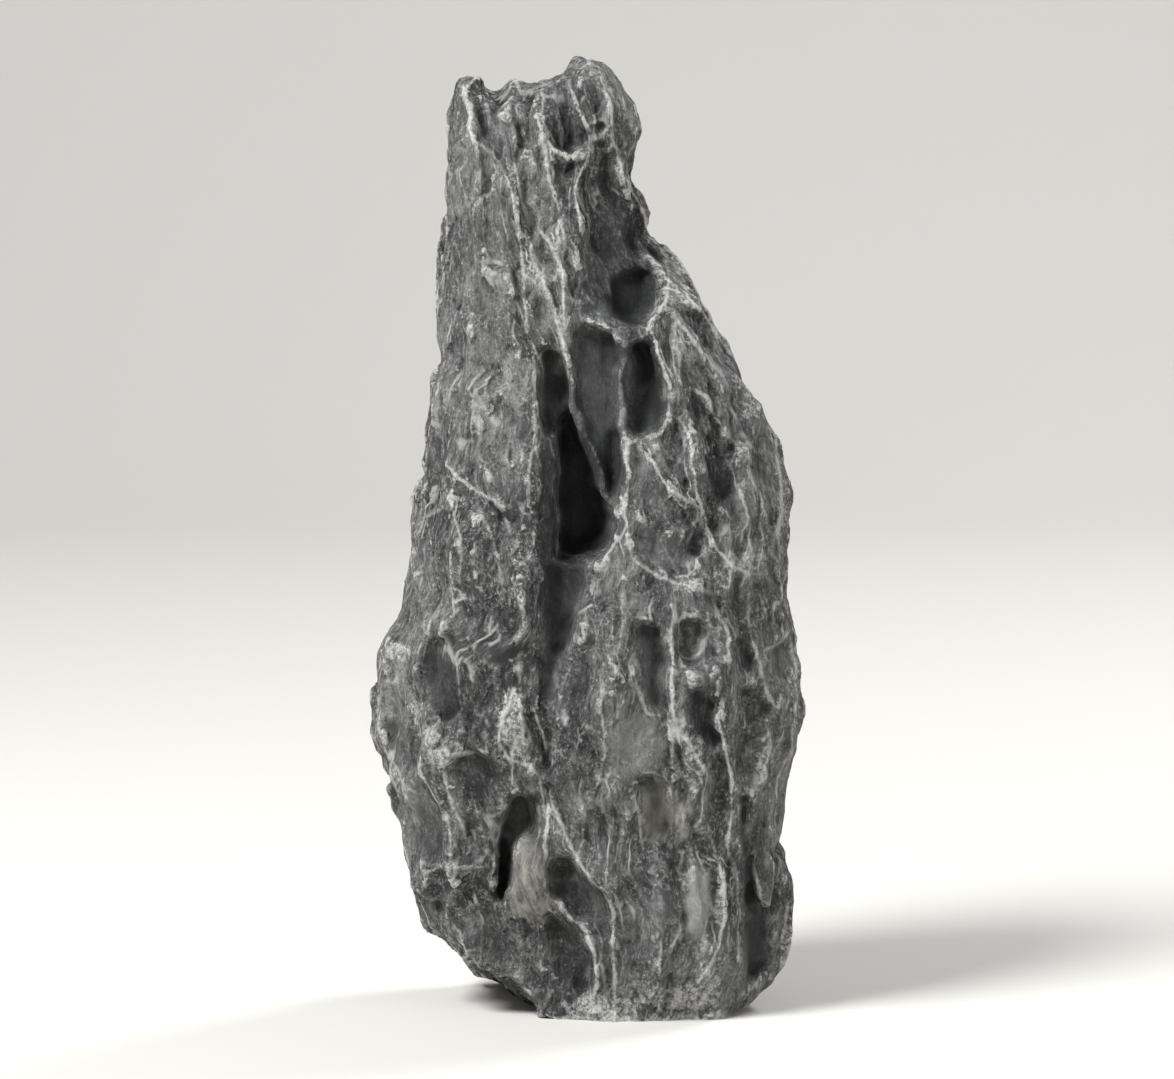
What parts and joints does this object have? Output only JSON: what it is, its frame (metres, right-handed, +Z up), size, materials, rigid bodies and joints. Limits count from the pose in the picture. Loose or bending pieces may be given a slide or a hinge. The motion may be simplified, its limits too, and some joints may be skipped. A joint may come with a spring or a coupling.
{
  "type": "aquascape stone",
  "caption": "Upright slab of weathered dark grey limestone with sharp flutes, scooped pits, a deep black slot and a flat broken foot, for aquascapes and rock gardens.",
  "frame": {"origin": "middle of the stone's box, at the level of its flat foot", "axes": "+Z up along the slab, -Y towards the fluted front face that the picture shows, +X to the viewer's right"},
  "size_m": [0.098, 0.0714, 0.2131],
  "materials": {
    "stone": "matt weathered limestone, dark neutral grey with paler worn crests, thin white veins and a few khaki stains in the pits"
  },
  "bodies": {
    "root": {"seiryu_stone": "stone"}
  },
  "joints": []
}
